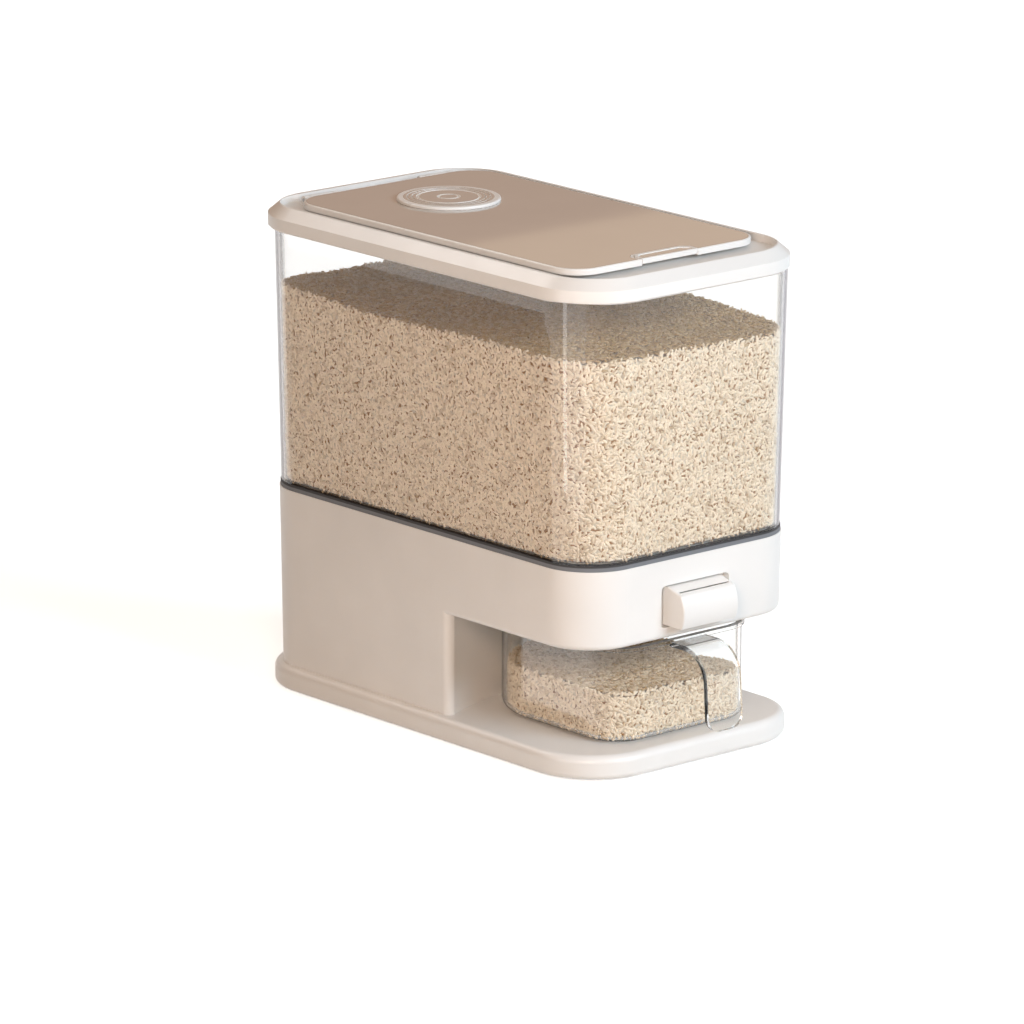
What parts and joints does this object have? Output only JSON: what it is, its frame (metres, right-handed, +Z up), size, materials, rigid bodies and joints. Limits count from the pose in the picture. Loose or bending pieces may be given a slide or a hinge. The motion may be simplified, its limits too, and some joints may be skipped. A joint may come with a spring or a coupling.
{
  "type": "rice dispenser",
  "caption": "Countertop rice dispenser: clear bin on a white housing, sealed flap lid, front push button and a clear measuring cup in an open bay on a foot plate.",
  "frame": {"origin": "centre of the whole object's footprint, on the surface that the rubber feet stand on", "axes": "+X to the right seen from the front, +Y to the rear where the lid's hinge is, +Z up"},
  "size_m": [0.168, 0.311, 0.28],
  "materials": {
    "white_shell": "satin",
    "greige_flap": "gloss",
    "clear_plastic": "gloss",
    "grey_gasket": "matte",
    "silicone": "satin",
    "foot_rubber": "matte",
    "inner_plastic": "satin",
    "slide_plastic": "satin",
    "steel": "satin"
  },
  "bodies": {
    "base": {"base_plate": "white_shell", "rubber_foot_1": "foot_rubber", "rubber_foot_2": "foot_rubber", "rubber_foot_3": "foot_rubber", "rubber_foot_4": "foot_rubber", "base_housing": "white_shell", "base_screws": "steel", "hopper": "inner_plastic", "shutter_guide": "inner_plastic", "guide_screws": "steel", "return_spring_left": "steel", "return_spring_right": "steel", "spring_rod_left": "steel", "spring_rod_right": "steel", "bin_gasket": "grey_gasket", "clear_bin": "clear_plastic"},
    "button": {"push_button": "white_shell", "shutter": "slide_plastic"},
    "lid": {"lid_frame": "white_shell", "lid_seal": "silicone", "hinge_pin_left": "steel", "hinge_pin_right": "steel"},
    "flap": {"lid_flap": "white_shell", "flap_panel": "greige_flap", "flap_seal": "silicone"},
    "tab": {"press_tab": "white_shell"},
    "dial": {"dial_cap": "white_shell", "moisture_box": "inner_plastic"},
    "cup": {"measuring_cup": "clear_plastic"}
  },
  "joints": [
    {"name": "button_press", "type": "slide", "parent": "base", "child": "button", "axis": [0, 1, 0], "range_m": [0, 0.012], "stiffness_N_per_m": 300, "springref_m": -0.01, "deforming": ["return_spring_left", "return_spring_right"]},
    {"name": "lid_lift", "type": "slide", "parent": "base", "child": "lid", "axis": [0, 0, 1], "range_m": [0, 0.06]},
    {"name": "flap_hinge", "type": "hinge", "parent": "lid", "child": "flap", "pos_m": [0, 0.1359, 0.2754], "axis": [-1, 0, 0], "range_deg": [0, 100]},
    {"name": "tab_press", "type": "slide", "parent": "flap", "child": "tab", "axis": [0, 0, -1], "range_m": [0, 0.0015], "stiffness_N_per_m": 600, "springref_m": -0.001},
    {"name": "dial_twist", "type": "hinge", "parent": "flap", "child": "dial", "pos_m": [0, 0.0752, 0.2783], "axis": [0, 0, 1], "range_deg": [0, 60]},
    {"name": "cup_slide", "type": "slide", "parent": "base", "child": "cup", "axis": [0, -1, 0], "range_m": [0, 0.15]}
  ]
}
